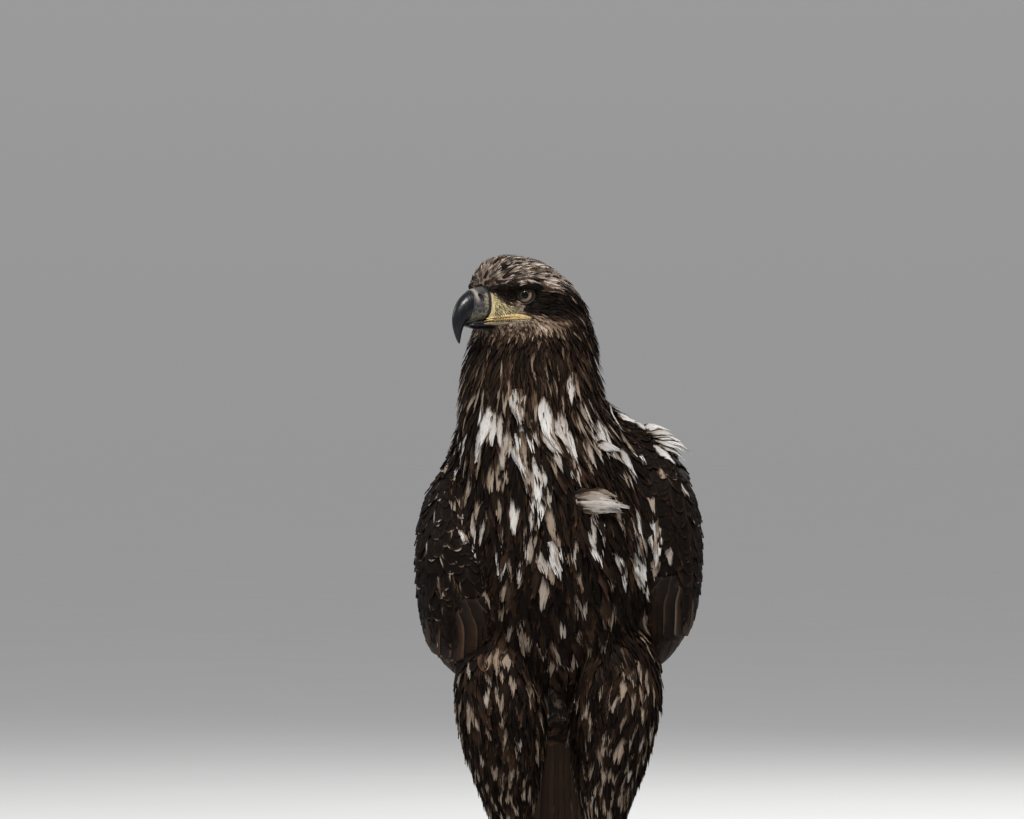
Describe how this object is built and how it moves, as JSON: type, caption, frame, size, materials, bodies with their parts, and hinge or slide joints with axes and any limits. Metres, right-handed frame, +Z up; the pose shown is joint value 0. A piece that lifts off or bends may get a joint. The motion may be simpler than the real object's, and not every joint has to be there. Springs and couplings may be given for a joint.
{
  "type": "immature bald eagle",
  "caption": "Life-size model of a young bald eagle standing on the floor, wings folded, head turned to its right, with hooked bill, feathered thighs and clawed feet.",
  "frame": {"origin": "on the floor, under the middle of the bird's bounding box", "axes": "+Z up; the bird faces -Y, its left side is +X and its tail points to +Y; the head is turned 50 degrees to the bird's right"},
  "size_m": [0.2902, 0.474, 0.6743],
  "materials": {
    "plumage": "dark brown body feathers with buff and white mottling, soft and matte",
    "flight_feathers": "blackish-brown wing and tail feathers, faint sheen",
    "horn": "smooth dark slate horn, softly polished",
    "cere": "waxy greyish-yellow skin at the root of the bill",
    "eye": "pale brownish iris and black pupil under a wet clear dome",
    "foot": "yellow scaled skin, slightly waxy"
  },
  "bodies": {
    "root": {"head": "plumage", "neck": "plumage", "trunk": "plumage", "cere": "cere", "bill_upper": "horn", "bill_lower": "horn", "eye_left": "eye", "eye_right": "eye", "wing_left_coverts": "plumage", "wing_left_secondaries": "flight_feathers", "wing_left_primaries": "flight_feathers", "wing_right_coverts": "plumage", "wing_right_secondaries": "flight_feathers", "wing_right_primaries": "flight_feathers", "tail": "flight_feathers", "leg_left_feathered": "plumage", "leg_right_feathered": "plumage", "foot_left": "foot", "foot_right": "foot", "claw_left_inner": "horn", "claw_left_middle": "horn", "claw_left_outer": "horn", "claw_left_hind": "horn", "claw_right_inner": "horn", "claw_right_middle": "horn", "claw_right_outer": "horn", "claw_right_hind": "horn"}
  },
  "joints": []
}
